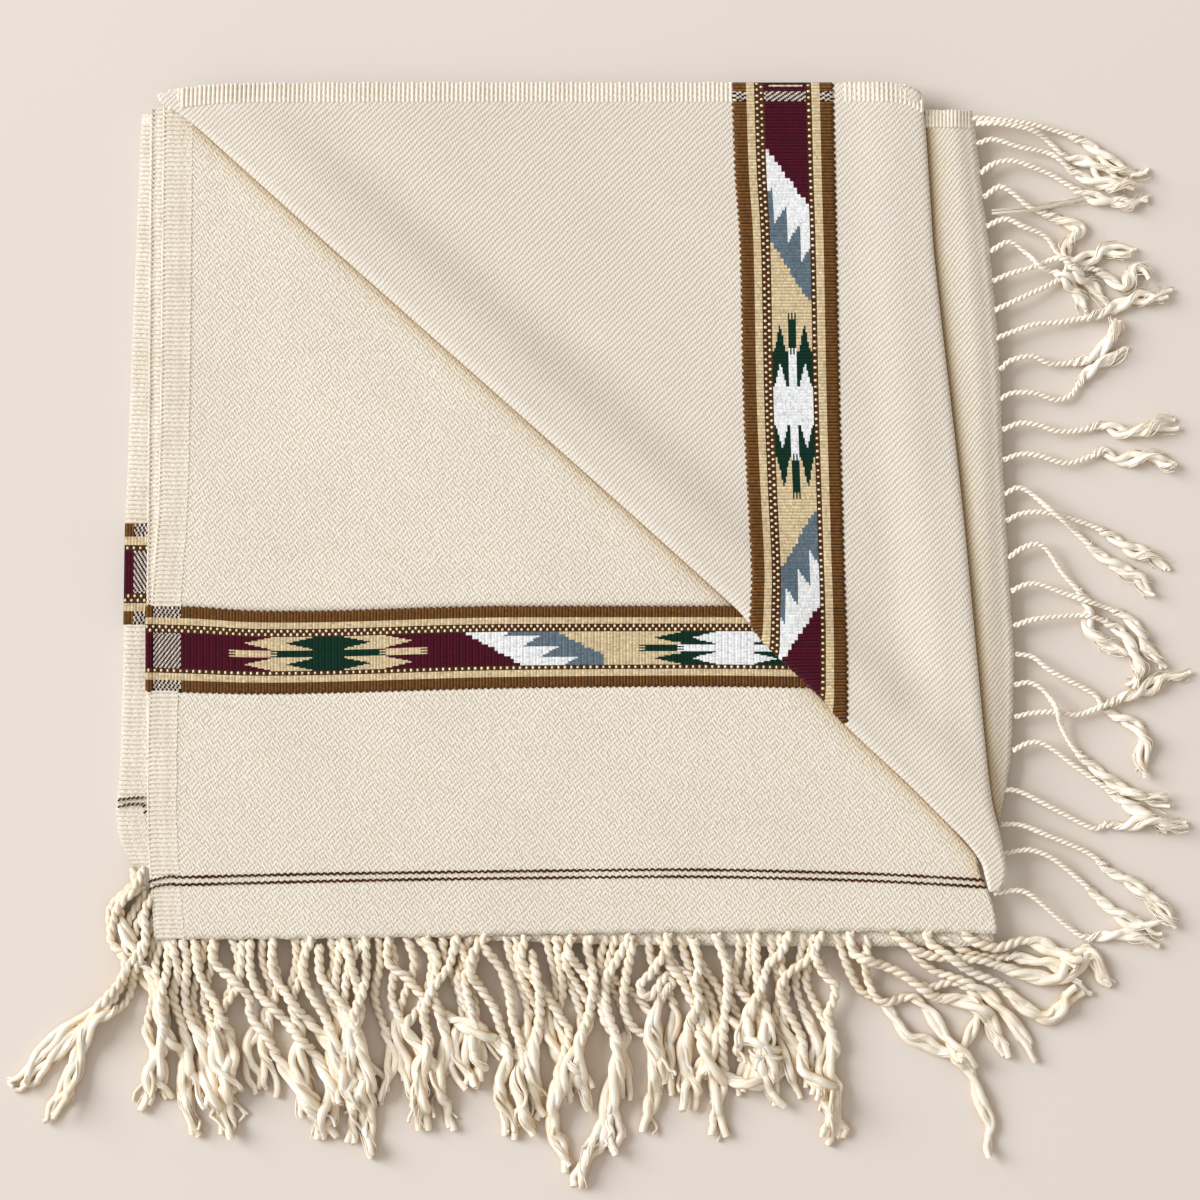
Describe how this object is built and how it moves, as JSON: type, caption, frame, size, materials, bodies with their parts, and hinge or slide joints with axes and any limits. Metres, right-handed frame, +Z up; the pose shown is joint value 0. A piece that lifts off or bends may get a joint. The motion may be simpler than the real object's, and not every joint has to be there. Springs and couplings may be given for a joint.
{
  "type": "wool shawl",
  "caption": "Fringed wool shawl with woven border bands, folded flat to a near square, its top corner turned over the diagonal.",
  "frame": {"origin": "middle of the footprint, fringe included, on the surface that the folded shawl rests on", "axes": "+X along the fringed lower edge, towards the side where the turned corner's fringe lies; +Y up the selvedges, away from the lower fringe; +Z up from the surface"},
  "size_m": [0.7236, 0.6676, 0.0232],
  "materials": {
    "wool_twill": "undyed cream wool twill, soft and matt with a light nap",
    "border_weave": "weft-faced ribbed weave in brown, tan, maroon, green, grey and white wool",
    "fringe_cord": "two-ply twisted cream wool cords with loose fluffy ends"
  },
  "bodies": {
    "root": {"hidden_folds": "wool_twill", "back_hem": "wool_twill", "back_border": "border_weave", "back_field": "wool_twill", "second_ply": "wool_twill", "front_hem": "wool_twill", "front_border": "border_weave", "front_field": "wool_twill", "flap_field": "wool_twill", "flap_border": "border_weave", "flap_side": "wool_twill", "flap_end": "wool_twill", "fringe_right": "fringe_cord", "fringe_front": "fringe_cord", "fringe_back": "fringe_cord"}
  },
  "joints": []
}
